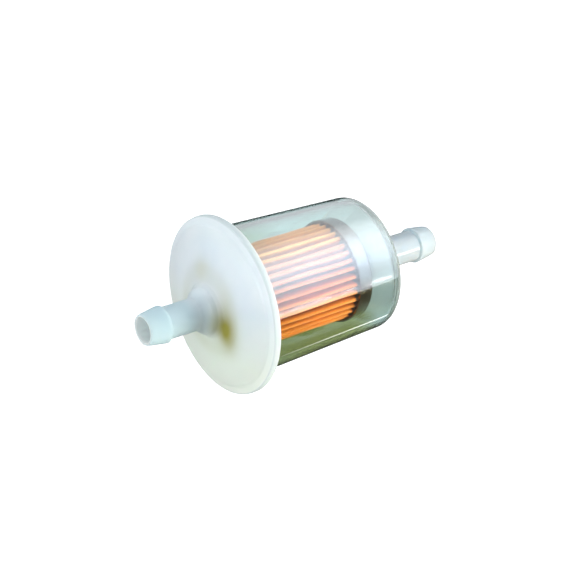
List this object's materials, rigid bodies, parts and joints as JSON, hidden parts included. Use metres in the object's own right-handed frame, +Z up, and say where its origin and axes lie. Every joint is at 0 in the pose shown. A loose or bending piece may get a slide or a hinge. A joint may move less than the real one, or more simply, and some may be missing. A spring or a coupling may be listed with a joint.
{
  "type": "inline fuel filter",
  "caption": "Inline fuel filter: a pleated paper cartridge in a clear tapered bowl, closed by a wide flanged cap, with a barbed hose nipple at each end.",
  "frame": {"origin": "middle of the overall length, on the filter's axis", "axes": "X along the filter's axis, from the outlet cap at -X to the inlet nipple of the clear bowl at +X; +Z up; the whole is round about X"},
  "size_m": [0.089, 0.045, 0.045],
  "materials": {
    "white_nylon": "natural white nylon, slightly translucent, satin",
    "clear_nylon": "clear, faintly blue-green, glossy",
    "weld_flash": "melted and set, uneven",
    "orange_paper": "resin-treated filter paper, matt",
    "lacquered_steel": "thin sheet with a dark olive-gold lacquer, glossy",
    "tinned_strip": "tinned strip, satin",
    "dark_adhesive": "set adhesive, satin",
    "black_rubber": "matt",
    "core_plastic": "moulded, satin"
  },
  "bodies": {
    "root": {"outlet_cap": "white_nylon", "clear_bowl": "clear_nylon", "weld_bead": "weld_flash", "filter_paper": "orange_paper", "seam_clip": "tinned_strip", "support_core": "core_plastic", "open_end_cap": "lacquered_steel", "closed_end_cap": "lacquered_steel", "open_end_potting": "dark_adhesive", "closed_end_potting": "dark_adhesive", "spigot_gasket": "black_rubber"}
  },
  "joints": []
}
